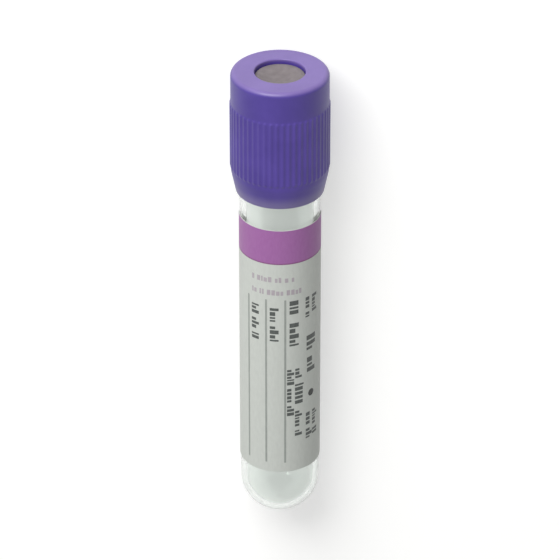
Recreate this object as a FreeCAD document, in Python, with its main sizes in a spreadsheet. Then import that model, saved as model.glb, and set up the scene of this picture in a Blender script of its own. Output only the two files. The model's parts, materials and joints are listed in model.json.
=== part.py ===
"""Evacuated blood collection tube, 13 mm x 75 mm, with its safety closure.

Four pieces: a clear round-bottomed tube, a rubber stopper, a fluted plastic shield
that carries the stopper, and a paper label that wraps just over half of the barrel.

Every piece is drawn upright, with the tube's axis on Z and the outside of its round
bottom at the origin.  A tube cannot stand by itself, so the last step lays all four
down as they come to rest: on the round bottom and on two ribs of the shield, with the
label facing up.
"""

import FreeCAD, Part
import math
import os
import Sketcher

Vector = FreeCAD.Vector

# Name, size in millimetres (or degrees, or a count), and what it is.
SIZES = [
    ("tube_length", 75.0, "tube, from the bottom to the rim"),
    ("tube_radius", 6.5, "outside of the barrel and of its round bottom"),
    ("tube_wall", 1.0, "thickness of the barrel and of the bottom"),
    ("rim_bevel", 0.25, "bevel on both edges of the rim"),
    ("shield_height", 21.0, "shield, from its lower lip to its top"),
    ("shield_rise", 7.0, "top of the shield above the rim of the tube"),
    ("shield_gap", 0.25, "running gap between the barrel and the skirt"),
    ("skirt_wall", 1.1, "thickness of the skirt at its plain bands"),
    ("top_plate", 2.0, "thickness of the shield's top"),
    ("port_radius", 4.05, "hole in the top that shows the stopper"),
    ("port_bevel", 0.15, "bevel on the upper edge of that hole"),
    ("port_recess", 0.8, "depth of the rubber below the top of the shield"),
    ("crown_round", 0.8, "round on the upper edge of the shield"),
    ("crown_band", 5.2, "plain band under the top of the shield"),
    ("lower_band", 0.6, "plain band under the ribs"),
    ("lip_height", 3.6, "height of the lower end that tapers in"),
    ("lip_wall", 0.35, "thickness left at the lower lip"),
    ("flute_count", 52, "flutes round the skirt, with a rib between each two"),
    ("flute_share", 0.8, "part of the pitch that a flute takes"),
    ("flute_depth", 0.13, "depth of a flute below the ribs"),
    ("rib_rise", 0.15, "how far the ribs stand out from the plain bands"),
    ("head_overhang", 0.5, "how far the stopper's head reaches past the barrel"),
    ("head_gap", 0.05, "gap between the stopper and the shield round it"),
    ("plug_length", 8.0, "length of the plug below the rim"),
    ("plug_gap", 0.05, "running gap between the plug and the bore"),
    ("seal_length", 4.5, "straight part of the plug under the head"),
    ("plug_taper", 0.4, "what the plug's radius loses below that"),
    ("hollow_radius", 2.6, "hollow in the underside of the plug"),
    ("membrane", 4.8, "rubber between the hollow and the dish"),
    ("dish_rim", 3.4, "radius of the dish in the top of the stopper"),
    ("dish_depth", 0.5, "depth of that dish"),
    ("dish_flat", 1.2, "radius of the flat in the middle of the dish"),
    ("label_bottom", 10.7, "lower edge of the label above the bottom"),
    ("label_length", 46.0, "length of the label along the barrel"),
    ("label_wrap", 190.0, "degrees of the barrel that the label covers"),
    ("label_sheet", 0.1, "thickness of the paper"),
    ("glue_line", 0.02, "adhesive between the paper and the barrel"),
]


class Size:
    """A length that carries both its number and the expression that drives it."""

    def __init__(self, number, text):
        self.number = number
        self.text = text

    def join(self, other, sign, number):
        text = other.text if isinstance(other, Size) else repr(float(other))
        return Size(number, f"({self.text} {sign} {text})")

    def __add__(self, other):
        return self.join(other, "+", self.number + float(other))

    def __sub__(self, other):
        return self.join(other, "-", self.number - float(other))

    def __mul__(self, other):
        return self.join(other, "*", self.number * float(other))

    def __truediv__(self, other):
        return self.join(other, "/", self.number / float(other))

    def __neg__(self):
        return self * -1

    def __float__(self):
        return float(self.number)


doc = FreeCAD.newDocument("blood_collection_tube")
sheet = doc.addObject("Spreadsheet::Sheet", "Sizes")
size = {}
for row, (alias, number, meaning) in enumerate(SIZES, start=1):
    sheet.set(f"A{row}", alias)
    sheet.set(f"B{row}", str(number))
    sheet.set(f"C{row}", meaning)
    sheet.setAlias(f"B{row}", alias)
    size[alias] = Size(number, f"Sizes.{alias}")
doc.recompute()

AXIS = Size(0.0, "0")  # a point with this distance across lies on the tube's axis
GROUND = Size(0.0, "0")  # a point with this height lies at the bottom of the tube
SAME_PLACE = 1e-6  # two places nearer to each other than this, in mm, are one
VOLUME_SLACK = 0.01  # the share by which two volumes that should agree may differ

# Places that several pieces share.
rim = size["tube_length"]
bore_radius = size["tube_radius"] - size["tube_wall"]
shield_top = rim + size["shield_rise"]
shield_bottom = shield_top - size["shield_height"]
plate_underside = shield_top - size["top_plate"]
skirt_bore = size["tube_radius"] + size["shield_gap"]
band_radius = skirt_bore + size["skirt_wall"]
rib_radius = band_radius + size["rib_rise"]
head_radius = size["tube_radius"] + size["head_overhang"]
taper_top = shield_bottom + size["lip_height"]
ribs_bottom = taper_top + size["lower_band"]
ribs_top = shield_top - size["crown_band"]

# A flute is a round groove.  The radius of the rod that cuts it follows from the chord
# that it takes out of the pitch and from its depth.
pitch = rib_radius * (2 * math.pi) / size["flute_count"]
half_chord = pitch * size["flute_share"] / 2
cutter_radius = (half_chord * half_chord / size["flute_depth"] + size["flute_depth"]) / 2
cutter_axis = rib_radius + cutter_radius - size["flute_depth"]


def new_body(label):
    """An empty body, named for the piece that it holds."""
    body = doc.addObject("PartDesign::Body", label)
    body.Label = label
    return body


def origin_feature(body, role):
    """One of the body's own origin planes or axes."""
    return next(item for item in body.Origin.OriginFeatures if item.Role == role)


def new_sketch(body, name):
    """A sketch on the body's XZ plane, so that its upright axis is the tube's."""
    sketch = body.newObject("Sketcher::SketchObject", name)
    sketch.AttachmentSupport = [(origin_feature(body, "XZ_Plane"), "")]
    sketch.MapMode = "FlatFace"
    return sketch


def drive(sketch, constraint, amount):
    """Add a constraint and let the spreadsheet drive its value."""
    index = sketch.addConstraint(constraint)
    sketch.setExpression(f"Constraints[{index}]", amount.text)


def pin(sketch, edge, end, across, up):
    """Hold one end of an edge at its distance across and its height."""
    origin, horizontal_axis, vertical_axis = (-1, 1), -1, -2
    if across is AXIS:
        sketch.addConstraint(Sketcher.Constraint("PointOnObject", edge, end, vertical_axis))
    else:
        rule = Sketcher.Constraint("DistanceX", *origin, edge, end, float(across))
        drive(sketch, rule, across)
    if up is GROUND:
        sketch.addConstraint(Sketcher.Constraint("PointOnObject", edge, end, horizontal_axis))
    else:
        rule = Sketcher.Constraint("DistanceY", *origin, edge, end, float(up))
        drive(sketch, rule, up)


def arc(start, end, radius, turn):
    """The short arc between two points, turning left for +1 and right for -1."""
    chord = end - start
    to_the_left = Vector(-chord.y, chord.x, 0).normalize()
    reach = math.sqrt(radius**2 - (chord.Length / 2) ** 2)
    bulge = (start + end) / 2 - to_the_left * (turn * (radius - reach))
    return Part.ArcOfCircle(start, bulge, end)


def outline(sketch, steps):
    """Draw a closed outline and constrain all of it.

    A step is (across, up) where a straight edge leaves that point, and
    (across, up, radius, turn) where an arc leaves it.
    """
    corners = [Vector(float(step[0]), float(step[1]), 0) for step in steps]
    following = corners[1:] + corners[:1]
    first_end = []
    for step, start, end in zip(steps, corners, following):
        if len(step) == 2:
            edge = sketch.addGeometry(Part.LineSegment(start, end), False)
        else:
            edge = sketch.addGeometry(arc(start, end, float(step[2]), step[3]), False)
        begins_here = sketch.getPoint(edge, 1).distanceToPoint(start) < SAME_PLACE
        first_end.append(1 if begins_here else 2)
    for edge, step in enumerate(steps):
        after = (edge + 1) % len(steps)
        last_end = 3 - first_end[edge]
        rule = Sketcher.Constraint("Coincident", edge, last_end, after, first_end[after])
        sketch.addConstraint(rule)
        pin(sketch, edge, first_end[edge], step[0], step[1])
        if len(step) == 4:
            drive(sketch, Sketcher.Constraint("Radius", edge, float(step[2])), step[2])


def revolve(body, name, steps):
    """Turn an outline once round the tube's axis."""
    sketch = new_sketch(body, f"{name}_outline")
    outline(sketch, steps)
    turned = body.newObject("PartDesign::Revolution", name)
    turned.Profile = sketch
    turned.ReferenceAxis = (sketch, ["V_Axis"])
    turned.Angle = 360
    doc.recompute()
    return turned


def round_edges(body, name, rings, radius):
    """Round the circular edges that lie at these (radius, height) places."""
    base = body.Tip
    names = []
    for number, edge in enumerate(base.Shape.Edges, start=1):
        if edge.Degenerated or not isinstance(edge.Curve, Part.Circle):
            continue
        for ring_radius, height in rings:
            off = abs(edge.Curve.Radius - float(ring_radius))
            off += abs(edge.Curve.Center.z - float(height))
            if off < SAME_PLACE:
                names.append(f"Edge{number}")
    if len(names) != len(rings):
        raise RuntimeError(f"{name}: found {len(names)} edges, not {len(rings)}")
    rounded = body.newObject("PartDesign::Fillet", name)
    rounded.Base = (base, names)
    rounded.setExpression("Radius", radius.text)
    doc.recompute()


def make_tube():
    """The barrel and its hemispherical bottom, one wall thick all the way round."""
    body = new_body("tube_body")
    radius = size["tube_radius"]
    bevel = size["rim_bevel"]
    steps = [
        (AXIS, GROUND, radius, 1),
        (radius, radius),
        (radius, rim - bevel),
        (radius - bevel, rim),
        (bore_radius + bevel, rim),
        (bore_radius, rim - bevel),
        (bore_radius, radius, bore_radius, -1),
        (AXIS, size["tube_wall"]),
    ]
    revolve(body, "wall", steps)
    return body


def make_stopper():
    """Rubber stopper: a head that seals on the rim, and a hollow plug in the bore.

    A boss on the head fills the hole in the shield, where the needle goes in.
    """
    body = new_body("stopper")
    plug_radius = bore_radius - size["plug_gap"]
    plug_bottom = rim - size["plug_length"]
    seal_bottom = rim - size["seal_length"]
    boss_radius = size["port_radius"] - size["head_gap"]
    boss_top = shield_top - size["port_recess"]
    dish_bottom = boss_top - size["dish_depth"]
    hollow_top = dish_bottom - size["membrane"]
    steps = [
        (AXIS, hollow_top),
        (size["hollow_radius"], hollow_top),
        (size["hollow_radius"], plug_bottom),
        (plug_radius - size["plug_taper"], plug_bottom),
        (plug_radius, seal_bottom),
        (plug_radius, rim),
        (head_radius, rim),
        (head_radius, plate_underside),
        (boss_radius, plate_underside),
        (boss_radius, boss_top),
        (size["dish_rim"], boss_top),
        (size["dish_flat"], dish_bottom),
        (AXIS, dish_bottom),
    ]
    revolve(body, "rubber", steps)
    return body


def cut_flutes(body):
    """Cut one flute into the ribbed band and repeat it round the axis.

    The cutter is a rod turned about its own axis, which stands outside the skirt.  Its
    floor stays just clear of the plain bands, so each flute runs out at both ends of the
    ribs.
    """
    sketch = new_sketch(body, "cutter_outline")
    low = ribs_bottom - size["rib_rise"]
    high = ribs_top + size["rib_rise"]
    steps = [
        (cutter_axis, low),
        (cutter_axis + cutter_radius, low),
        (cutter_axis + cutter_radius, high),
        (cutter_axis, high),
    ]
    outline(sketch, steps)
    spindle = sketch.addGeometry(Part.LineSegment(Vector(0, 0, 0), Vector(0, 1, 0)), True)
    pin(sketch, spindle, 1, cutter_axis, low)
    pin(sketch, spindle, 2, cutter_axis, high)
    flute = body.newObject("PartDesign::Groove", "flute")
    flute.Profile = sketch
    flute.ReferenceAxis = (sketch, ["Axis0"])
    flute.Angle = 360
    before = flute.BaseFeature.Shape.Volume
    doc.recompute()
    one_flute = before - flute.Shape.Volume

    flutes = body.newObject("PartDesign::PolarPattern", "flutes")
    flutes.Originals = [flute]
    flutes.Axis = (origin_feature(body, "Z_Axis"), [""])
    flutes.Angle = 360
    flutes.setExpression("Occurrences", size["flute_count"].text)
    body.Tip = flutes
    doc.recompute()
    cut = before - flutes.Shape.Volume
    expected = one_flute * float(size["flute_count"])
    print(f"one flute takes {one_flute:.3f} mm3, all of them {cut:.1f} mm3")
    if one_flute <= 0 or abs(cut - expected) > VOLUME_SLACK * expected:
        raise RuntimeError("the flutes do not cut the skirt as they should")


def make_shield():
    """The closure's plastic shield: a top with a hole, and a skirt down the barrel.

    A shoulder at the height of the rim holds the stopper's head against the top.
    """
    body = new_body("cap_shield")
    pocket_radius = head_radius + size["head_gap"]
    port_radius = size["port_radius"]
    bevel = size["port_bevel"]
    steps = [
        (port_radius, plate_underside),
        (pocket_radius, plate_underside),
        (pocket_radius, rim),
        (skirt_bore, rim),
        (skirt_bore, shield_bottom),
        (skirt_bore + size["lip_wall"], shield_bottom),
        (band_radius, taper_top),
        (band_radius, ribs_bottom),
        (rib_radius, ribs_bottom),
        (rib_radius, ribs_top),
        (band_radius, ribs_top),
        (band_radius, shield_top),
        (port_radius + bevel, shield_top),
        (port_radius, shield_top - bevel),
    ]
    revolve(body, "moulding", steps)
    round_edges(body, "crown_round", [(band_radius, shield_top)], size["crown_round"])
    cut_flutes(body)
    return body


def make_label():
    """A paper sheet bent round the barrel, centred on the side away from +X."""
    body = new_body("label")
    inner = size["tube_radius"] + size["glue_line"]
    outer = inner + size["label_sheet"]
    low = size["label_bottom"]
    high = low + size["label_length"]
    sketch = new_sketch(body, "sheet_section")
    outline(sketch, [(-outer, low), (-inner, low), (-inner, high), (-outer, high)])
    bent = body.newObject("PartDesign::Revolution", "sheet")
    bent.Profile = sketch
    bent.ReferenceAxis = (sketch, ["V_Axis"])
    bent.Midplane = True
    bent.setExpression("Angle", size["label_wrap"].text)
    doc.recompute()
    return body


def resting_place():
    """Lay the upright tube down, cap towards +X and label up, on the plane Z = 0.

    It touches the plane with its round bottom, whose centre is one radius up the axis,
    and with two ribs beside the lowest flute.  The edge of a rib lies at the distance
    contact_radius below the axis, at the lower end of the ribs.  The axis tilts until
    both touch.
    """
    bottom = float(size["tube_radius"])
    rib, cutter, spindle = float(rib_radius), float(cutter_radius), float(cutter_axis)
    contact_radius = (rib**2 + spindle**2 - cutter**2) / (2 * spindle)
    span = float(ribs_bottom) - bottom
    tilt = math.acos(bottom / math.hypot(contact_radius, span))
    tilt -= math.atan2(span, contact_radius)

    crown = float(size["crown_round"])
    crown_centre = float(band_radius) - crown
    crown_height = float(shield_top) - crown
    left = bottom * math.cos(tilt) - bottom
    right = crown_height * math.cos(tilt) + crown_centre * math.sin(tilt) + crown
    foot = Vector(-(left + right) / 2, 0, bottom * (1 - math.sin(tilt)))
    turn = FreeCAD.Rotation(Vector(0, 1, 0), 90 - math.degrees(tilt))
    return FreeCAD.Placement(foot, turn), math.degrees(tilt)


pieces = [make_tube(), make_stopper(), make_shield(), make_label()]
placement, tilt_degrees = resting_place()
for piece in pieces:
    piece.Placement = placement
doc.recompute()

for item in doc.Objects:
    if "Invalid" in item.State or "Error" in item.State:
        raise RuntimeError(f"{item.Label} did not compute: {item.State}")

os.makedirs("parts", exist_ok=True)
for piece in pieces:
    shape = piece.Shape
    if shape.isNull() or not shape.isValid() or len(shape.Solids) != 1:
        raise RuntimeError(f"{piece.Label} is not one sound solid")
    shape.exportStep(f"parts/{piece.Label}.step")
    box = shape.BoundBox
    print(
        f"{piece.Label}: {shape.Volume:.1f} mm3, {len(shape.Faces)} faces,"
        f" X {box.XMin:.2f} to {box.XMax:.2f}, Z {box.ZMin:.3f} to {box.ZMax:.2f}"
    )
print(f"axis tilted {tilt_degrees:.3f} degrees, foot of the axis at {placement.Base}")
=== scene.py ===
# %% [markdown]
# # A blood collection tube
#
# The object is a small sealed tube: a clear plastic barrel with a round bottom, a rubber
# stopper in its mouth, a violet cap that carries the stopper, and a paper label.
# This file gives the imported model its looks.  It is read from top to bottom like a
# notebook.  Each piece is a surface worked out with numpy on a grid of two parameters,
# and each finish is a small tree of shader nodes.

import json
import math

import bpy
import numpy as np
from mathutils import Matrix, Vector


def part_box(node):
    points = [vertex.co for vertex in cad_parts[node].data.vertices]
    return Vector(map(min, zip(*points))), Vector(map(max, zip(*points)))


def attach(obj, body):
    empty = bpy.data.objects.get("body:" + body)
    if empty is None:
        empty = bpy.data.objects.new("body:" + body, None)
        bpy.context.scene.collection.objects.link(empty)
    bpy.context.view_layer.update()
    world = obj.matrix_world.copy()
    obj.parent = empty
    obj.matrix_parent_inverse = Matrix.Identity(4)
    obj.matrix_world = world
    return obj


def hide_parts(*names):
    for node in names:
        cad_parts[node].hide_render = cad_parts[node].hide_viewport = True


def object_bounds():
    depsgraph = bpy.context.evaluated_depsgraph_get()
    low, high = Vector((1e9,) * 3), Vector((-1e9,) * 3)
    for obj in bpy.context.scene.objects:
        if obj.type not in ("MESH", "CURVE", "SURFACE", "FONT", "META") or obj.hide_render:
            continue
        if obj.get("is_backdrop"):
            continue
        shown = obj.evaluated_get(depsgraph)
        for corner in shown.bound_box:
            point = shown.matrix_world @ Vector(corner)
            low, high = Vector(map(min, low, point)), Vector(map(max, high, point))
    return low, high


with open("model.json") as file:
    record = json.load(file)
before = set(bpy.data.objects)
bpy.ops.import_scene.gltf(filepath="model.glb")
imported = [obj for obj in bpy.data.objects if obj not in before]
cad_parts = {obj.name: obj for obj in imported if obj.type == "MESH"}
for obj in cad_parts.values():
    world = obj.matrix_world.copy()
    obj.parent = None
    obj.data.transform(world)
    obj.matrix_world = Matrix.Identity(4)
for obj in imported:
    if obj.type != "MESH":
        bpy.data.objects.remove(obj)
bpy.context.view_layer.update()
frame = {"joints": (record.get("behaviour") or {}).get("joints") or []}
MM = 0.001

# %% [markdown]
# ## Where the tube's axis lies
#
# The tube lies on its round bottom and on the ribs of its cap, so its axis is not quite
# level.  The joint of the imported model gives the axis' direction.  The ball of the bottom
# touches both the lowest X and the lowest Z of the barrel's box, so its centre is one
# radius in from each of them.  From there on, every shape is written in millimetres and
# in the tube's own terms: a radius, an angle round the axis, and a height, which is the
# distance along it from the bottom.  The angle is 0 in the middle of the label, which
# faces up, and grows towards +Y.

# %% The tube's own axes
TUBE_RADIUS = 6.5

along = Vector(frame["joints"][0]["axis"]).normalized()
sideways = Vector((0.0, 1.0, 0.0))
outward = sideways.cross(along) * -1
barrel_low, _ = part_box("tube_body")
ball = Vector((barrel_low.x, 0.0, barrel_low.z)) + Vector((1.0, 0.0, 1.0)) * TUBE_RADIUS * MM
foot = ball - along * TUBE_RADIUS * MM
AXES = np.array([along, outward, sideways])
print("axis", tuple(round(c, 5) for c in along), "label faces", tuple(round(c, 3) for c in outward))


def place(radius, angle, height):
    """World points: foot + height along the axis + radius turned by angle round it."""
    radius, angle, height = np.broadcast_arrays(radius, angle, height)
    local = np.stack([height, radius * np.cos(angle), radius * np.sin(angle)], axis=-1)
    return np.array(foot) + local * MM @ AXES


# %% [markdown]
# ## From a grid to a mesh
#
# A grid of points becomes a mesh when each cell is made a four-sided face.  A grid may
# close on itself round the axis, close on itself along its profile, or end in a pole,
# where a fan of triangles meets one point.  The faces are numbered with whole arrays.

# %% Grid to mesh
def lattice(rows, columns, rows_close, columns_close):
    """Corner numbers of each cell: point (i, j) has the number i * columns + j."""
    i = np.arange(rows if rows_close else rows - 1)[:, None]
    j = np.arange(columns if columns_close else columns - 1)[None, :]
    below, beside = (i + 1) % rows, (j + 1) % columns
    corners = [i * columns + j, i * columns + beside, below * columns + beside, below * columns + j]
    return np.stack(np.broadcast_arrays(*corners), axis=-1).reshape(-1, 4)


def enclosed(points, faces):
    """Volume inside the faces: the sum of a . (b x c) / 6 over fans of triangles."""
    total = 0.0
    for face in faces:
        for k in range(1, face.shape[1] - 1):
            a, b, c = points[face[:, 0]], points[face[:, k]], points[face[:, k + 1]]
            total += np.einsum("ij,ij->", a, np.cross(b, c)) / 6
    return total


def make_piece(name, points, faces, flat=()):
    """A mesh object at the origin, its place in its mesh, its faces turned outwards.
    faces is a list of groups, all smooth but those whose numbers are in flat, and every
    edge of a flat face is sharp, so that light doesn't flow round it."""
    middle = points.mean(axis=0)
    volume = enclosed(points - middle, faces)
    if volume < 0:
        faces = [face[:, ::-1] for face in faces]
    mesh = bpy.data.meshes.new(name)
    loops = np.concatenate([face.ravel() for face in faces])
    sizes = np.concatenate([np.full(len(face), face.shape[1]) for face in faces])
    smooth = np.concatenate([np.full(len(face), k not in flat) for k, face in enumerate(faces)])
    mesh.vertices.add(len(points))
    mesh.vertices.foreach_set("co", points.astype(np.float32).ravel())
    mesh.loops.add(len(loops))
    mesh.loops.foreach_set("vertex_index", loops.astype(np.int32))
    mesh.polygons.add(len(sizes))
    starts = np.concatenate([[0], np.cumsum(sizes)[:-1]])
    mesh.polygons.foreach_set("loop_start", starts.astype(np.int32))
    mesh.polygons.foreach_set("use_smooth", smooth)
    mesh.update(calc_edges=True)
    edge_of_corner = np.empty(len(loops), dtype=np.int32)
    mesh.loops.foreach_get("edge_index", edge_of_corner)
    sharp = np.zeros(len(mesh.edges), dtype=bool)
    sharp[edge_of_corner[np.repeat(~smooth, sizes)]] = True
    mesh.edges.foreach_set("use_edge_sharp", sharp)
    mesh.validate()
    piece = bpy.data.objects.new(name, mesh)
    bpy.context.scene.collection.objects.link(piece)
    triangles = int((sizes - 2).sum())
    print(f"{name}: {len(points)} points, {triangles} triangles, {abs(volume) / MM**3:.1f} mm3")
    return piece


# %% [markdown]
# ## Profiles with rounded corners
#
# A moulded piece has no knife edges.  A Bevel modifier could round them all alike, but
# each edge of a moulding has a round of its own.  So each profile is given as a table of
# corners, with the radius of the round at each.  The round is an arc that touches both
# straight runs.  A row of points a little way along each run keeps the light flat on it
# and lets it turn only in the round, which is what makes a moulded edge catch a thin
# bright line.

# %% A rounded profile
GUARD = 0.12
GUARD_LIMIT = 0.45


def rounded(corners, closed=True, steps=5):
    """Replace each corner (radius, height, round) by an arc tangent to both its runs: it
    turns about its centre, in equal steps, from its first point to its last.  A row lies
    GUARD mm past each end of the arc, or at GUARD_LIMIT of the run where that is less."""
    corners = np.array(corners, dtype=float)
    spots, rounds = corners[:, :2], corners[:, 2]
    count = len(spots)
    rows = []
    for k in range(count):
        spot, size = spots[k], rounds[k]
        ends_here = not closed and k in (0, count - 1)
        if ends_here or size == 0:
            rows.append(spot[None])
            continue
        back, on = spots[k - 1] - spot, spots[(k + 1) % count] - spot
        back_length, on_length = np.linalg.norm(back), np.linalg.norm(on)
        back, on = back / back_length, on / on_length
        half = math.acos(np.clip(back @ on, -1, 1)) / 2
        reach = size / math.tan(half)
        centre = spot + (back + on) / np.linalg.norm(back + on) * size / math.sin(half)
        first, last = spot + back * reach - centre, spot + on * reach - centre
        swing = math.pi - 2 * half
        share = np.linspace(0, 1, steps + 1)[:, None]
        arc = (np.sin((1 - share) * swing) * first + np.sin(share * swing) * last) / math.sin(swing)
        rows.append((spot + back * min(reach + GUARD, back_length * GUARD_LIMIT))[None])
        rows.append(centre + arc)
        rows.append((spot + on * min(reach + GUARD, on_length * GUARD_LIMIT))[None])
    return np.concatenate(rows)


def full_turn(count):
    """Angles of count columns once round the axis."""
    return np.arange(count) * 2 * math.pi / count


# %% [markdown]
# ## Finishes as small node trees
#
# Each finish is one Principled shader.  Its constant values sit on the shader's own
# sockets.  Colours are written as the hex values a designer would pick and turned into
# linear light by one function.  Patterns read Object coordinates, which are in metres,
# so another function turns a real size in millimetres into a scale of the noise.

# %% Helpers for finishes
def linear(hex_colour):
    """sRGB hex to linear RGBA: ((c + 0.055) / 1.055) ** 2.4 above the small toe."""
    c = np.array([int(hex_colour[k : k + 2], 16) / 255 for k in (1, 3, 5)])
    c = np.where(c > 0.04045, ((c + 0.055) / 1.055) ** 2.4, c / 12.92)
    return (*c, 1.0)


def cycles(count, length):
    """Noise scale that gives count cycles in length mm: count / length in metres."""
    return count / (length * MM)


def add_node(tree, kind, settings=None, inputs=None):
    """Add one node, set its properties, and set or link its inputs."""
    node = tree.nodes.new(kind)
    for key, value in (settings or {}).items():
        setattr(node, key, value)
    for key, value in (inputs or {}).items():
        if isinstance(value, bpy.types.NodeSocket):
            tree.links.new(value, node.inputs[key])
        else:
            node.inputs[key].default_value = value
    return node


def new_finish(name):
    """An empty material and its node tree."""
    material = bpy.data.materials.new(name)
    material.use_nodes = True
    tree = material.node_tree
    tree.nodes.clear()
    return material, tree


# The sockets of a Mix node that mixes colours.
MIX_SHARE, MIX_FROM, MIX_TO, MIXED = 0, 6, 7, 2


def two_tones(tree, pattern, low, high, dark, light):
    """A pattern's colour: the dark hex value up to low, the light one from high on, and
    dark + (light - dark) * (pattern - low) / (high - low) between."""
    span = {"Value": pattern, "From Min": low, "From Max": high}
    share = add_node(tree, "ShaderNodeMapRange", None, span)
    tones = {MIX_SHARE: share.outputs["Result"], MIX_FROM: linear(dark), MIX_TO: linear(light)}
    return add_node(tree, "ShaderNodeMix", {"data_type": "RGBA"}, tones).outputs[MIXED]


# %% [markdown]
# ### Clear plastic
#
# The barrel is moulded from PET, a clear plastic that bends light a little more than
# glass does.  It is clear but not perfect: the wall has a very faint grey-green cast and
# slow waves that the melt leaves as it fills the mould, about one in 6 mm.  Its skin has
# a haze of spots a millimetre apart that takes the edge off a reflection.  A few parts in
# a hundred of the light scatter at each skin, so that the rim, where light runs along
# inside the wall, looks grey and not black.

# %% Clear plastic
clear_plastic, tree = new_finish("clear_pet")
spot = add_node(tree, "ShaderNodeTexCoord").outputs["Object"]
waves = add_node(tree, "ShaderNodeTexNoise", None, {
    "Vector": spot,
    "Scale": cycles(16, 100),
    "Detail": 1.0,
})
haze = add_node(tree, "ShaderNodeTexNoise", None, {
    "Vector": spot,
    "Scale": cycles(9, 10),
    "Detail": 3.0,
})
rough = add_node(tree, "ShaderNodeMapRange", None, {
    "Value": haze.outputs["Fac"],
    "To Min": 0.02,
    "To Max": 0.07,
})
ripple = add_node(tree, "ShaderNodeBump", None, {
    "Height": waves.outputs["Fac"],
    "Strength": 0.15,
    "Distance": 0.1 * MM,
})
shader = add_node(tree, "ShaderNodeBsdfPrincipled", None, {
    "Base Color": linear("#F1F5F2"),
    "Roughness": rough.outputs["Result"],
    "IOR": 1.575,
    "Transmission Weight": 0.96,
    "Normal": ripple.outputs["Normal"],
})
add_node(tree, "ShaderNodeOutputMaterial", None, {"Surface": shader.outputs[0]})
print(clear_plastic.name, "has", len(tree.nodes), "nodes")

# %% [markdown]
# ### Violet cap plastic
#
# The shield is moulded from coloured polyethylene, a slightly waxy plastic with a satin
# skin.  Its colour is even, with faint flow clouds about 4 mm wide, and its skin carries
# a fine grain, three or four to the millimetre, that softens every reflection.  Two
# places are painted paler than the rest, and both are painted light.  The flat top is a
# painted highlight: the light from above and its reflection.  The lower lip is painted
# paler for the light of the barrel behind, which shows through the thin plastic.  Three
# materials would leave hard borders, so one material has two masks.  Each is made from
# the distance along the tube's axis, which is a dot product of the position with the axis.

# %% Violet plastic
CAP_TOP = 82.0
CAP_BOTTOM = 61.0
# Heights where the painted highlight on the top begins and where it is full.
TOP_LIGHT_START = CAP_TOP - 0.65
TOP_LIGHT_FULL = CAP_TOP - 0.05
# Heights where the painted light of the thin lip begins and where it is full.
LIP_LIGHT_START = CAP_BOTTOM + 2.6
LIP_LIGHT_FULL = CAP_BOTTOM + 0.2
CLOUDS_LOW, CLOUDS_HIGH = 0.35, 0.65
violet_plastic, tree = new_finish("violet_polyethylene")
spot = add_node(tree, "ShaderNodeTexCoord").outputs["Object"]
reach = add_node(tree, "ShaderNodeVectorMath", {"operation": "DOT_PRODUCT"}, {0: spot, 1: along})
height = add_node(tree, "ShaderNodeMath", {"operation": "MULTIPLY_ADD"}, {
    0: reach.outputs["Value"],
    1: 1 / MM,
    2: -foot.dot(along) / MM,
})
# Painted highlight: the flat top is painted paler, for the light from above and its reflection.
painted_top_light = add_node(tree, "ShaderNodeMapRange", {"interpolation_type": "SMOOTHSTEP"}, {
    "Value": height.outputs[0],
    "From Min": TOP_LIGHT_START,
    "From Max": TOP_LIGHT_FULL,
})
# Painted light: the thin lower lip is painted paler, for the light of the barrel behind that shows
# through it.
thin = add_node(tree, "ShaderNodeMapRange", {"interpolation_type": "SMOOTHSTEP"}, {
    "Value": height.outputs[0],
    "From Min": LIP_LIGHT_START,
    "From Max": LIP_LIGHT_FULL,
})
clouds = add_node(tree, "ShaderNodeTexNoise", None, {
    "Vector": spot,
    "Scale": cycles(24, 100),
    "Detail": 2.0,
})
grain = add_node(tree, "ShaderNodeTexNoise", None, {
    "Vector": spot,
    "Scale": cycles(35, 10),
    "Detail": 2.0,
})
body_colour = two_tones(tree, clouds.outputs["Fac"], CLOUDS_LOW, CLOUDS_HIGH, "#46348C", "#4E3C95")
# The top's paler violet is painted light, a highlight and reflection, not a colour of the plastic.
lit_top_colour = two_tones(tree, clouds.outputs["Fac"], CLOUDS_LOW, CLOUDS_HIGH, "#725F9F", "#7966A6")
# The lip's paler violet is painted light that stands for the barrel showing through the thin plastic.
lit_lip_colour = two_tones(tree, clouds.outputs["Fac"], CLOUDS_LOW, CLOUDS_HIGH, "#6F6498", "#766C9F")
side_tones = {MIX_SHARE: thin.outputs[0], MIX_FROM: body_colour, MIX_TO: lit_lip_colour}
side = add_node(tree, "ShaderNodeMix", {"data_type": "RGBA"}, side_tones)
all_tones = {MIX_SHARE: painted_top_light.outputs[0], MIX_FROM: side.outputs[MIXED], MIX_TO: lit_top_colour}
colour = add_node(tree, "ShaderNodeMix", {"data_type": "RGBA"}, all_tones)
rough = add_node(tree, "ShaderNodeMapRange", None, {
    "Value": clouds.outputs["Fac"],
    "To Min": 0.36,
    "To Max": 0.46,
})
skin = add_node(tree, "ShaderNodeBump", None, {
    "Height": grain.outputs["Fac"],
    "Strength": 0.25,
    "Distance": 0.03 * MM,
})
shader = add_node(tree, "ShaderNodeBsdfPrincipled", None, {
    "Base Color": colour.outputs[MIXED],
    "Roughness": rough.outputs["Result"],
    "IOR": 1.51,
    "Normal": skin.outputs["Normal"],
})
add_node(tree, "ShaderNodeOutputMaterial", None, {"Surface": shader.outputs[0]})
print(violet_plastic.name, "has", len(tree.nodes), "nodes")

# %% [markdown]
# ### Grey rubber
#
# The stopper is chlorobutyl rubber, a soft matte grey.  Its skin is dull, with a bloom
# that lightens it in patches a millimetre wide and a fine grain six to the millimetre.

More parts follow.
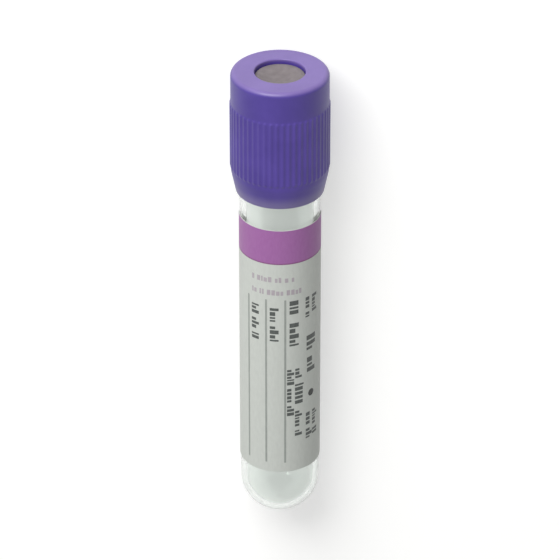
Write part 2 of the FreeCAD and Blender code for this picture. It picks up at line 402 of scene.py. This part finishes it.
# %% Grey rubber
BLOOM_LOW, BLOOM_HIGH = 0.3, 0.7
grey_rubber, tree = new_finish("grey_butyl_rubber")
spot = add_node(tree, "ShaderNodeTexCoord").outputs["Object"]
bloom = add_node(tree, "ShaderNodeTexNoise", None, {
    "Vector": spot,
    "Scale": cycles(9, 10),
    "Detail": 4.0,
})
grain = add_node(tree, "ShaderNodeTexNoise", None, {
    "Vector": spot,
    "Scale": cycles(60, 10),
    "Detail": 2.0,
})
colour = two_tones(tree, bloom.outputs["Fac"], BLOOM_LOW, BLOOM_HIGH, "#6F6869", "#7D7677")
skin = add_node(tree, "ShaderNodeBump", None, {
    "Height": grain.outputs["Fac"],
    "Strength": 0.35,
    "Distance": 0.04 * MM,
})
shader = add_node(tree, "ShaderNodeBsdfPrincipled", None, {
    "Base Color": colour,
    "Roughness": 0.72,
    "IOR": 1.52,
    "Normal": skin.outputs["Normal"],
})
add_node(tree, "ShaderNodeOutputMaterial", None, {"Surface": shader.outputs[0]})
print(grey_rubber.name, "has", len(tree.nodes), "nodes")

# %% [markdown]
# ### Label paper and its inks
#
# The label is coated paper.  Up close its surface shows short fibres under a thin coat,
# so the colour varies by a shade and the gloss is low.  The fibres are drawn 0.4 mm wide
# and three times as long, many times coarser than real ones, so that they show at all.
# Ink soaks in and leaves them to be seen, so each ink is the same finish in a colour of
# its own.

# %% Paper and ink
FIBRE_STRETCH = (0.35, 1.0, 1.0)
FIBRES_LOW, FIBRES_HIGH = 0.3, 0.7


def paper_finish(name, dark, light, roughness):
    """Coated paper: fibres stretched along the sheet vary its shade and its height."""
    material, tree = new_finish(name)
    spot = add_node(tree, "ShaderNodeTexCoord").outputs["Object"]
    stretch = add_node(tree, "ShaderNodeMapping", None, {"Vector": spot, "Scale": FIBRE_STRETCH})
    fibres = add_node(tree, "ShaderNodeTexNoise", None, {
        "Vector": stretch.outputs[0],
        "Scale": cycles(26, 10),
        "Detail": 4.0,
    })
    colour = two_tones(tree, fibres.outputs["Fac"], FIBRES_LOW, FIBRES_HIGH, dark, light)
    skin = add_node(tree, "ShaderNodeBump", None, {
        "Height": fibres.outputs["Fac"],
        "Strength": 0.2,
        "Distance": 0.02 * MM,
    })
    shader = add_node(tree, "ShaderNodeBsdfPrincipled", None, {
        "Base Color": colour,
        "Roughness": roughness,
        "IOR": 1.48,
        "Normal": skin.outputs["Normal"],
    })
    add_node(tree, "ShaderNodeOutputMaterial", None, {"Surface": shader.outputs[0]})
    print(name, "has", len(tree.nodes), "nodes")
    return material


label_paper = paper_finish("coated_label_paper", "#CBCFC9", "#D1D5CF", 0.55)
orchid_ink = paper_finish("orchid_ink", "#9E64A1", "#A36AA6", 0.5)
deep_orchid_ink = paper_finish("deep_orchid_ink", "#85507F", "#8C5686", 0.5)
pale_ink = paper_finish("pale_rose_ink", "#AFA6AD", "#B9B1B7", 0.55)
rule_ink = paper_finish("rule_grey_ink", "#979C97", "#A0A5A0", 0.55)
dark_ink = paper_finish("dark_grey_ink", "#4C504E", "#585D5A", 0.5)
black_ink = paper_finish("black_ink", "#1B1F1C", "#262A27", 0.45)


def finish_piece(piece, material, body, slot, *nodes):
    """Give a piece its finish and its body, and hide the CAD nodes it stands for; slot is not used."""
    piece.data.materials.append(material)
    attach(piece, body)
    if nodes:
        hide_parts(*nodes)


# %% [markdown]
# ## The barrel
#
# The barrel is one moulding: a straight wall 1 mm thick that ends in a half ball.  It is
# a profile, outside wall and inside wall together, turned round the axis.  A Solidify
# modifier on a single skin could give the wall, but not the rounded rim.  Both skins are
# needed, because the look of a clear tube comes from light that bends at each.  The melt
# enters the mould at the very bottom, through a gate that leaves a shallow dimple there,
# so that its cut stub stands no prouder than the ball.

# %% Barrel profile
TUBE_LENGTH = 75.0
WALL = 1.0
BORE = TUBE_RADIUS - WALL
WALL_START = TUBE_RADIUS + 1.0
RIM_ROUND = 0.3
GATE_RADIUS = 1.3
GATE_DEPTH = 0.15
CROWDING = 1.3


def smooth_step(x):
    """0 below 0, 1 above 1, and 3 x2 - 2 x3 between."""
    x = np.clip(x, 0, 1)
    return x * x * (3 - 2 * x)


def bowl(radius, centre, rows, dimple=0.0):
    """Quarter circle (r sin t, centre - r cos t) from the axis to the straight wall, with
    a dimple at the pole that lifts it by dimple * (1 - step(distance / GATE_RADIUS)).
    t is a quarter turn times share ** CROWDING, so that rows crowd towards the pole."""
    t = np.linspace(0, 1, rows)[1:] ** CROWDING * math.pi / 2
    across = radius * np.sin(t)
    lift = dimple * (1 - smooth_step(across / GATE_RADIUS))
    return np.stack([across, centre - radius * np.cos(t) + lift], axis=-1)


outer = bowl(TUBE_RADIUS, TUBE_RADIUS, rows=52, dimple=GATE_DEPTH)
inner = bowl(BORE, TUBE_RADIUS, rows=40)[::-1]
rim = rounded([
    (TUBE_RADIUS, WALL_START, 0),
    (TUBE_RADIUS, TUBE_LENGTH, RIM_ROUND),
    (BORE, TUBE_LENGTH, RIM_ROUND),
    (BORE, WALL_START, 0),
], closed=False)
wall = np.concatenate([outer, rim, inner])
print("barrel profile:", len(wall), "rows")


# %% Turn a profile and close its ends
def turned_with_poles(name, profile, first_height, last_height, columns):
    """Set each point (radius, height) of a profile at every column's angle.  A fan of
    triangles closes each end of it, at a point on the axis at a height of its own."""
    angles = full_turn(columns)
    grid = place(profile[:, :1], angles[None, :], profile[:, 1:])
    rows = len(profile)
    poles = place(np.zeros(2), np.zeros(2), np.array([first_height, last_height]))
    points = np.concatenate([grid.reshape(-1, 3), poles])
    quads = lattice(rows, columns, False, True)
    j = np.arange(columns)
    beside = (j + 1) % columns
    last_row = (rows - 1) * columns
    first_fan = np.stack([beside, j, np.full(columns, rows * columns)], axis=-1)
    last_fan = np.stack([last_row + j, last_row + beside, np.full(columns, rows * columns + 1)], axis=-1)
    return make_piece(name, points, [quads, first_fan, last_fan])


barrel = turned_with_poles("tube_shell", wall, GATE_DEPTH, WALL, columns=160)
finish_piece(barrel, clear_plastic, "tube", "clear_plastic", "tube_body")

# %% [markdown]
# ## The stopper
#
# The stopper is one rubber moulding: a head that sits on the rim, a plug that fills the
# bore, and a hollow from below, so that only a few millimetres of rubber are left for the
# needle.  A boss on the head fills the hole in the cap, and a shallow dish in its top
# guides the needle to the middle.  It is round all over, so one profile turned round the
# axis makes it whole.  The profile starts at the top of the hollow, next to the axis,
# runs out round the plug and the head, and ends in the middle of the dish.

# %% Stopper
PLATE_UNDERSIDE = 80.0
HEAD = TUBE_RADIUS + 0.5
PLUG = BORE - 0.05
PLUG_END = 67.0
LEAD_IN = 0.4
LEAD_IN_TOP = 70.5
HOLLOW = 2.6
HOLLOW_TOP = 75.9
HOLLOW_POLE = 0.3
BOSS = 4.0
BOSS_TOP = 81.2
DISH = 3.35
DISH_FLAT = 1.3
DISH_FLOOR = 80.7
DISH_POLE = 0.2
stopper_profile = rounded([
    (HOLLOW_POLE, HOLLOW_TOP, 0),
    (HOLLOW, HOLLOW_TOP, 1.2),
    (HOLLOW, PLUG_END, 0.25),
    (PLUG - LEAD_IN, PLUG_END, 0.3),
    (PLUG, LEAD_IN_TOP, 1.0),
    (PLUG, TUBE_LENGTH, 0.05),
    (HEAD, TUBE_LENGTH, 0.2),
    (HEAD, PLATE_UNDERSIDE, 0.2),
    (BOSS, PLATE_UNDERSIDE, 0.15),
    (BOSS, BOSS_TOP, 0.15),
    (DISH, BOSS_TOP, 0.35),
    (DISH_FLAT, DISH_FLOOR, 1.6),
    (DISH_POLE, DISH_FLOOR, 0),
], closed=False)
stopper = turned_with_poles("stopper_rubber", stopper_profile, HOLLOW_TOP, DISH_FLOOR, columns=144)
finish_piece(stopper, grey_rubber, "closure", "grey_rubber", "stopper")

# %% [markdown]
# ## The cap
#
# The cap is the part with the most shape.  Its wall profile is turned round the axis.  A
# low band round its side carries 52 fine ribs for the fingers, with a shallow round flute
# between each two.  At an angle d from its middle, a flute cut by a rod of radius c whose
# centre is at distance D from the axis reaches in to D cos d - sqrt(c2 - D2 sin2 d).
# A bump map would leave the outline plain, and 52 cutters would leave a rough mesh, so
# the formula moves the points of the wall's own grid.  The ribs rise from the plain
# bands and sink back into them over half a millimetre, as the mould has to let them go
# without tearing.  Rows lie a tenth of a millimetre apart there and far apart between,
# where the ribs run straight.

# %% Cap profile
BAND = 7.85
RIB = 8.0
PORT = 4.05
HEAD_ROOM = 7.05
SKIRT_INSIDE = 6.75
LIP = 7.1
TAPER_TOP = 64.6
cap_corners = [
    (SKIRT_INSIDE, CAP_BOTTOM, 0.1),
    (LIP, CAP_BOTTOM, 0.14),
    (BAND, TAPER_TOP, 5.0),
    (BAND, CAP_TOP, 0.8),
    (PORT, CAP_TOP, 0.2),
    (PORT, PLATE_UNDERSIDE, 0.1),
    (HEAD_ROOM, PLATE_UNDERSIDE, 0.1),
    (HEAD_ROOM, TUBE_LENGTH, 0.1),
    (SKIRT_INSIDE, TUBE_LENGTH, 0.1),
]
RIBS_LOW = 65.2
RIBS_HIGH = 76.8
RIB_RISE = 0.5
ROW_STEP = 0.1
HALF_STEP = ROW_STEP / 2
LONG_ROWS = 6
ON_SIDE = BAND - 0.01


def with_side_rows(profile, heights):
    """The profile with a row at each height on the longest straight run of its side."""
    climb = np.diff(profile[:, 1]) * (profile[:-1, 0] > ON_SIDE)
    split = int(np.argmax(climb)) + 1
    rows = np.stack([np.full(len(heights), BAND), heights], axis=-1)
    return np.concatenate([profile[:split], rows, profile[split:]])


rise = RIBS_LOW + np.arange(ROW_STEP, RIB_RISE + HALF_STEP, ROW_STEP)
run = np.linspace(RIBS_LOW, RIBS_HIGH, LONG_ROWS)[1:-1]
sink = RIBS_HIGH + np.arange(-RIB_RISE, 2 * ROW_STEP + HALF_STEP, ROW_STEP)
cap_rows = with_side_rows(rounded(cap_corners, steps=7), np.concatenate([rise, run, sink]))
print("cap profile:", len(cap_rows), "rows")

# %% Cap surface
FLUTES = 52
FLUTE_DEPTH = 0.13
FLUTE_SHARE = 0.8
half_chord = math.pi * RIB / FLUTES * FLUTE_SHARE
rod = (half_chord**2 / FLUTE_DEPTH + FLUTE_DEPTH) / 2
rod_axis = RIB + rod - FLUTE_DEPTH
EASE = 0.02


def ribbed(radius, angle, height):
    """The plain side raised by the ribs: radius + lift * (surface - BAND).  The surface
    is the lower of rib and flute, (r + f - sqrt((r - f)2 + EASE2)) / 2 + EASE / 4, which
    rounds the edge where they meet.  The lift is a smooth step at each end of the ribs."""
    pitch = 2 * math.pi / FLUTES
    off = (angle + pitch / 2) % pitch - pitch / 2
    inside = np.maximum(rod**2 - (rod_axis * np.sin(off)) ** 2, 0)
    flute = rod_axis * np.cos(off) - np.sqrt(inside)
    surface = (RIB + flute - np.sqrt((RIB - flute) ** 2 + EASE**2)) / 2 + EASE / 4
    above_low, below_high = height - RIBS_LOW + ROW_STEP, RIBS_HIGH + ROW_STEP - height
    lift = smooth_step(above_low / RIB_RISE) * smooth_step(below_high / RIB_RISE)
    on_side = (radius > ON_SIDE) & (above_low > -ROW_STEP) & (below_high > -ROW_STEP)
    return np.where(on_side, radius + lift * (np.minimum(surface, RIB) - BAND), radius)


# The columns of one pitch, as shares of it: close together over the rib in its middle.
pitch_share = np.array([0, 0.13, 0.25, 0.33, 0.38, 0.42, 0.46, 0.5, 0.54, 0.58, 0.62, 0.67, 0.75, 0.87])
cap_angles = ((np.arange(FLUTES)[:, None] + pitch_share) * 2 * math.pi / FLUTES).ravel()
side_radius = ribbed(cap_rows[:, :1], cap_angles[None, :], cap_rows[:, 1:])
cap_grid = place(side_radius, cap_angles[None, :] + math.pi, cap_rows[:, 1:])
cap_faces = lattice(len(cap_rows), len(cap_angles), True, True)
cap = make_piece("shield_moulding", cap_grid.reshape(-1, 3), [cap_faces])
finish_piece(cap, violet_plastic, "closure", "violet_plastic", "cap_shield")

# %% [markdown]
# ## The label
#
# The label is one sheet of paper glued round a little more than half of the barrel.  A
# sheet has a length along the tube and an arc round it, so its outline is a rounded
# rectangle in (arc, length), bent to the barrel's radius, and its thickness is real.  A
# flat sheet with a Simple Deform modifier would bend too.  Working the bend out puts
# both skins at exact radii, so that the sheet clears the barrel by the glue's thickness.

# %% Bent plates
GLUE = 0.02
PAPER = 0.1
PAPER_INSIDE = TUBE_RADIUS + GLUE
SHEET_RADIUS = PAPER_INSIDE + PAPER
LABEL_LOW = 10.7
LABEL_LENGTH = 46.0
LABEL_TOP = LABEL_LOW + LABEL_LENGTH
CORNER_ROWS = 7
COLUMN_STEP = 0.35


def plate_outline(width, length, corner, rows):
    """Depths of the rows down a rounded rectangle and its half width at each, which is
    width / 2 - corner + sqrt(corner2 - (corner - y)2) at a depth y within a corner."""
    ends = corner * (1 - np.cos(np.linspace(0, math.pi / 2, CORNER_ROWS)))
    middle = np.linspace(corner, length - corner, rows)[1:-1]
    depth = np.concatenate([ends, middle, (length - ends)[::-1]])
    near = np.minimum(depth, length - depth)
    lost = corner - np.sqrt(np.maximum(corner**2 - np.maximum(corner - near, 0) ** 2, 0))
    return depth, width / 2 - lost


def bent_plate(name, width, length, top, inside, outside, corner, rows):
    """A thin plate bent round the axis: angle = -arc / outside radius, so the width is
    measured on the outside.  The grid is the outer skin and the inner skin, joined round
    their shared outline."""
    depth, half = plate_outline(width, length, corner, rows)
    columns = math.ceil(width / COLUMN_STEP) + 1
    arc = half[:, None] * np.linspace(-1, 1, columns)
    height = (top - depth)[:, None]
    skins = [place(radius, -arc / outside, height).reshape(-1, 3) for radius in (outside, inside)]
    count = len(skins[0])
    cells = lattice(len(depth), columns, False, False)
    i, j = np.arange(len(depth)), np.arange(columns)
    left, right = i * columns, i * columns + columns - 1
    start, end = j, (len(depth) - 1) * columns + j
    ring = np.concatenate([start, right[1:], end[::-1][1:], left[::-1][1:-1]])
    following = np.roll(ring, -1)
    edge = np.stack([ring, following, following + count, ring + count], axis=-1)
    faces = [cells[:, ::-1], cells + count, edge]
    return make_piece(name, np.concatenate(skins), faces, flat=(2,))


WRAP = math.radians(190)
LABEL_CORNER = 0.8
label_arc = WRAP * SHEET_RADIUS
print("label", round(label_arc, 2), "mm round by", LABEL_LENGTH, "mm")
label = bent_plate(
    "label_sheet", label_arc, LABEL_LENGTH, LABEL_TOP, PAPER_INSIDE, SHEET_RADIUS, LABEL_CORNER, rows=12
)
finish_piece(label, label_paper, "tube", "label_paper", "label")

# %% [markdown]
# ## Print on the label
#
# The print is generic: a coloured band at the top, lines to write on, and short blocks in
# place of words.  A mask in the paper's material could carry it, but it would need nodes
# for every mark.  Here each mark is a plate of ink seven thousandths of a millimetre
# thick and three thousandths clear of the paper.  It is bent as the label is, and its
# edge is crisp from near and far.

# %% Many small plates in one piece
INK_INSIDE = SHEET_RADIUS + 0.003
INK_OUTSIDE = SHEET_RADIUS + 0.010


def printed(name, marks, columns=7):
    """One piece of thin bent plates.  A mark is (across from, across to, down from, down
    to) in mm.  Across runs round the label from its middle towards -Y, which is to the
    right with the cap uppermost, and down runs from its top edge."""
    marks = np.array(marks, dtype=float)
    share = np.linspace(0, 1, columns)
    arc = marks[:, 0, None] + (marks[:, 1] - marks[:, 0])[:, None] * share
    arc = np.repeat(arc[:, None, :], 2, axis=1)
    height = LABEL_TOP - marks[:, 2:4, None]
    skins = [place(radius, -arc / SHEET_RADIUS, height) for radius in (INK_OUTSIDE, INK_INSIDE)]
    points = np.stack(skins, axis=1).reshape(-1, 3)
    skin = 2 * columns
    cells = lattice(2, columns, False, False)
    start, end = np.arange(columns), columns + np.arange(columns)
    ring = np.concatenate([start, end[::-1]])
    following = np.roll(ring, -1)
    edge = np.stack([ring, following, following + skin, ring + skin], axis=-1)
    offsets = (np.arange(len(marks)) * 2 * skin)[:, None, None]
    faces = [(group + offsets).reshape(-1, 4) for group in (cells[:, ::-1], cells + skin, edge)]
    return make_piece(name, points, faces, flat=(2,))


# %% Coloured band
SIDE_MARGIN = 0.05
TOP_MARGIN = 0.03
STRIPE = 6.0
STRIPE_CORNER = 0.05
STRIPE_EDGE = 0.22
half_label = label_arc / 2 - SIDE_MARGIN
stripe_top, stripe_end = LABEL_TOP - TOP_MARGIN, TOP_MARGIN + STRIPE
band = bent_plate(
    "print_band", 2 * half_label, STRIPE, stripe_top, INK_INSIDE, INK_OUTSIDE, STRIPE_CORNER, rows=6
)
finish_piece(band, orchid_ink, "tube", "orchid_ink")
edge_mark = (-half_label, half_label, stripe_end, stripe_end + STRIPE_EDGE)
band_edge = printed("print_band_edge", [edge_mark], columns=60)
finish_piece(band_edge, deep_orchid_ink, "tube", "orchid_ink")

# %% [markdown]
# The words on a real label are left out.  In their place are rows of small blocks, one
# for each character, with a wider gap after each word.  Their widths and heights come
# from a seeded random generator, so the print is the same on every run.  The shares
# below are all of a row's size, which is the height of its tallest block.

# %% Rows of blocks
BLOCK_LENGTHS = [0.22, 0.34, 0.42, 0.5]
BLOCK_GAP = 0.16
WORD_GAP = 0.45
SHORTEST_REST = 0.3
WORD_BLOCKS = (3, 6)


def block_row(seed, across, down, size, length, spread=0.62):
    """Blocks that run down the label: the row's middle is at across, each block is up to
    size wide across and at most half of that long, and the row ends after length mm."""
    dice = np.random.default_rng(seed)
    marks = []
    at, left_in_word = down, dice.integers(*WORD_BLOCKS)
    while at < down + length - size * SHORTEST_REST:
        long = size * dice.choice(BLOCK_LENGTHS)
        tall = size * dice.choice([spread, spread, 1.0])
        base = across - size / 2
        marks.append((base, base + tall, at, min(at + long, down + length)))
        at += long + size * BLOCK_GAP
        left_in_word -= 1
        if left_in_word == 0:
            at += size * WORD_GAP
            left_in_word = dice.integers(*WORD_BLOCKS)
    return marks


# Each row: seed, across, down, size, length.
dark_rows = [
    (11, -4.3, 14.2, 1.4, 6.6),
    (12, -0.95, 14.4, 1.45, 6.8),
    (13, 2.35, 17.4, 1.6, 5.2),
    (14, 5.1, 13.2, 1.3, 4.1),
    (15, 6.55, 13.2, 1.25, 3.7),
    (16, 5.75, 20.6, 2.1, 3.4),
    (17, 5.75, 24.8, 1.9, 3.0),
    (18, 1.75, 26.2, 1.2, 9.4),
    (19, 3.15, 26.2, 1.2, 2.2),
    (20, 3.15, 34.4, 1.3, 5.4),
    (21, 5.3, 35.4, 1.4, 5.4),
    (22, 6.75, 35.4, 1.3, 4.9),
]
bold_rows = [
    (31, 2.4, 13.2, 1.7, 2.9),
    (32, 3.3, 29.2, 1.6, 4.2),
]
BOLD_SPREAD = 0.9
marks = sum([block_row(*row) for row in dark_rows], [])
bold_marks = sum([block_row(*row, BOLD_SPREAD) for row in bold_rows], [])
print(len(marks), "small blocks,", len(bold_marks), "bold ones")
finish_piece(printed("print_blocks", marks + bold_marks), dark_ink, "tube", "grey_ink")

# %% Lines to write on
RULES_ACROSS = (-5.7, -2.3, 0.85)
RULES_FROM = 12.9
RULES_TO = 44.2
HALF_RULE = 0.16
rules = [(across - HALF_RULE, across + HALF_RULE, RULES_FROM, RULES_TO) for across in RULES_ACROSS]
finish_piece(printed("print_rules", rules, columns=3), rule_ink, "tube", "grey_ink")

# %% Pale lines under the band
DASH_WIDTHS = [0.3, 0.45, 0.6]
DASH_RISES = [0.3, 0.5]
DASH_GAPS = [0.18, 0.18, 0.18, 0.6]


def dash_row(seed, start, end, down, size):
    """Pale blocks that run round the label from start to end at one height: the widths,
    rises and gaps are drawn from the lists above, as shares of size."""
    dice = np.random.default_rng(seed)
    marks = []
    at = start
    while at < end:
        wide = size * dice.choice(DASH_WIDTHS)
        marks.append((at, at + wide, down - size * dice.choice(DASH_RISES), down + size / 2))
        at += wide + size * dice.choice(DASH_GAPS)
    return marks


# Each row: seed, start, end, down, size.
pale_rows = [
    (41, -4.9, 2.2, 9.1, 0.95),
    (42, -4.9, 3.6, 11.5, 0.95),
]
pale_marks = sum([dash_row(*row) for row in pale_rows], [])
print(len(pale_marks), "pale blocks")
finish_piece(printed("print_pale_lines", pale_marks, columns=4), pale_ink, "tube", "grey_ink")

# %% Round dot
def printed_disc(name, across, down, radius, rings=4, spokes=28):
    """A thin bent disc: rings of points rho (cos t, sin t) laid on the label's surface."""
    rho = np.linspace(0, radius, rings + 1)[1:, None]
    t = full_turn(spokes)[None, :]
    arc, height = across + rho * np.cos(t), LABEL_TOP - (down + rho * np.sin(t))
    skins = []
    for skin_radius in (INK_OUTSIDE, INK_INSIDE):
        flat = place(skin_radius, -arc / SHEET_RADIUS, height).reshape(-1, 3)
        middle = place(skin_radius, -across / SHEET_RADIUS, LABEL_TOP - down).reshape(1, 3)
        skins.append(np.concatenate([flat, middle]))
    count = rings * spokes + 1
    cells = lattice(rings, spokes, False, True)
    j = np.arange(spokes)
    beside = (j + 1) % spokes
    fan = np.stack([j, beside, np.full(spokes, count - 1)], axis=-1)
    last = (rings - 1) * spokes
    edge = np.stack([last + j, last + beside, last + beside + count, last + j + count], axis=-1)
    faces = [cells, fan[:, ::-1], cells[:, ::-1] + count, fan + count, edge[:, ::-1]]
    return make_piece(name, np.concatenate(skins), faces, flat=(4,))


dot = printed_disc("print_dot", across=5.75, down=31.8, radius=0.65)
finish_piece(dot, black_ink, "tube", "grey_ink")

# %% [markdown]
# ## Floor
#
# The tube lies on a pale floor that runs out to white.  More light would whiten the
# floor, but it would bleach the tube as well.  So the floor and the sky glow only for the
# rays that are looked along: those that go straight to the eye, and those that come off
# a gloss or through the clear wall.  The scattered rays that light the tube never meet
# it.  The glow is weaker near the tube, where it would wash out the soft shadow.

# %% Rays that show the background
def seen_rays(tree):
    """1 for a ray that comes straight to the eye, off a gloss or through clear plastic,
    and 0 for the rays that only light the object: the greatest of three ray tests."""
    path = add_node(tree, "ShaderNodeLightPath")
    straight, glossy = path.outputs["Is Camera Ray"], path.outputs["Is Glossy Ray"]
    either = add_node(tree, "ShaderNodeMath", {"operation": "MAXIMUM"}, {0: straight, 1: glossy})
    through = path.outputs["Is Transmission Ray"]
    seen = add_node(tree, "ShaderNodeMath", {"operation": "MAXIMUM"}, {0: either.outputs[0], 1: through})
    return seen.outputs[0]


# %% Floor
FLOOR = 3.0
NEAR, FAR = 0.25, 1.2
NEAR_GLOW, FAR_GLOW = 0.52, 0.85
floor_material, tree = new_finish("pale_floor")
spot = add_node(tree, "ShaderNodeTexCoord").outputs["Object"]
away = add_node(tree, "ShaderNodeVectorMath", {"operation": "LENGTH"}, {0: spot})
level = add_node(tree, "ShaderNodeMapRange", {"interpolation_type": "SMOOTHSTEP"}, {
    "Value": away.outputs["Value"],
    "From Min": NEAR,
    "From Max": FAR,
    "To Min": NEAR_GLOW,
    "To Max": FAR_GLOW,
})
glow = add_node(tree, "ShaderNodeMath", {"operation": "MULTIPLY"}, {
    0: seen_rays(tree),
    1: level.outputs["Result"],
})
shader = add_node(tree, "ShaderNodeBsdfPrincipled", None, {
    "Base Color": linear("#D2D2D0"),
    "Roughness": 0.9,
    "Emission Color": (1.0, 1.0, 1.0, 1.0),
    "Emission Strength": glow.outputs[0],
})
add_node(tree, "ShaderNodeOutputMaterial", None, {"Surface": shader.outputs[0]})
corners = [(-FLOOR, -FLOOR, 0), (FLOOR, -FLOOR, 0), (FLOOR, FLOOR, 0), (-FLOOR, FLOOR, 0)]
floor_mesh = bpy.data.meshes.new("floor")
floor_mesh.from_pydata(corners, [], [(0, 1, 2, 3)])
floor = bpy.data.objects.new("floor", floor_mesh)
floor.data.materials.append(floor_material)
bpy.context.scene.collection.objects.link(floor)
floor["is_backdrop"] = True
print("floor", 2 * FLOOR, "m square")

# %% [markdown]
# ## Light
#
# The room gives an even, weak light from all round.  One large square lamp stands beyond
# the cap, above the floor and a little towards +Y.  It shapes the ribs and gives the soft
# shadow.  A small lamp or a sun would cut hard shadows between the ribs.

# %% Room light
ROOM_LIGHT = 0.3
world = bpy.data.worlds.new("plain_world")
bpy.context.scene.world = world
world.use_nodes = True
tree = world.node_tree
tree.nodes.clear()
level = add_node(tree, "ShaderNodeMapRange", None, {
    "Value": seen_rays(tree),
    "To Min": ROOM_LIGHT,
    "To Max": 1.0,
})
sky = add_node(tree, "ShaderNodeBackground", None, {
    "Color": (1.0, 1.0, 1.0, 1.0),
    "Strength": level.outputs["Result"],
})
add_node(tree, "ShaderNodeOutputWorld", None, {"Surface": sky.outputs[0]})

# %% Key lamp
KEY_DIRECTION = Vector((0.78, 0.31, 0.54)).normalized()
KEY_DISTANCE = 0.8
KEY_SIZE = 0.5
KEY_POWER = 6.9
light = bpy.data.lights.new("key_lamp", "AREA")
light.shape = "SQUARE"
light.size = KEY_SIZE
light.energy = KEY_POWER
lamp = bpy.data.objects.new("key_lamp", light)
lamp.location = KEY_DIRECTION * KEY_DISTANCE
lamp.rotation_mode = "QUATERNION"
lamp.rotation_quaternion = KEY_DIRECTION.to_track_quat("Z", "Y")
bpy.context.scene.collection.objects.link(lamp)
print("key lamp at", tuple(round(c, 3) for c in lamp.location))

# %% [markdown]
# ## Camera
#
# Such a tube is seen standing in its rack, from a little above, so that the top of the
# cap shows as an oval.  Here the tube lies down, and the camera takes the same view of
# it: it faces the label, raised towards the cap's end, with the cap at the top of the
# picture.  A long lens at arm's length keeps the barrel's sides nearly parallel.  The aim
# is a little above the middle, because the cap's end is nearer and looks larger.

# %% Camera
ELEVATION = math.radians(31)
DISTANCE = 0.62
AIM_ABOVE_MIDDLE = 3.0
LENS = 246
SENSOR = 36
low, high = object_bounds()
target = (low + high) / 2 + AIM_ABOVE_MIDDLE * MM * along
towards_camera = math.sin(ELEVATION) * along + math.cos(ELEVATION) * outward
camera_up = math.cos(ELEVATION) * along - math.sin(ELEVATION) * outward
camera_right = camera_up.cross(towards_camera)
camera_data = bpy.data.cameras.new("camera")
camera_data.lens = LENS
camera_data.sensor_width = SENSOR
camera_data.clip_start = 0.01
camera_data.clip_end = 50
camera = bpy.data.objects.new("camera", camera_data)
turn = Matrix((camera_right, camera_up, towards_camera)).transposed()
camera.matrix_world = Matrix.Translation(target + towards_camera * DISTANCE) @ turn.to_4x4()
bpy.context.scene.collection.objects.link(camera)
bpy.context.scene.camera = camera
print("camera at", tuple(round(c, 3) for c in camera.matrix_world.translation))

# %% [markdown]
# ## Close
#
# The Standard view shows each colour as it was written.

# %% Colour and close
bpy.context.scene.view_settings.view_transform = "Standard"
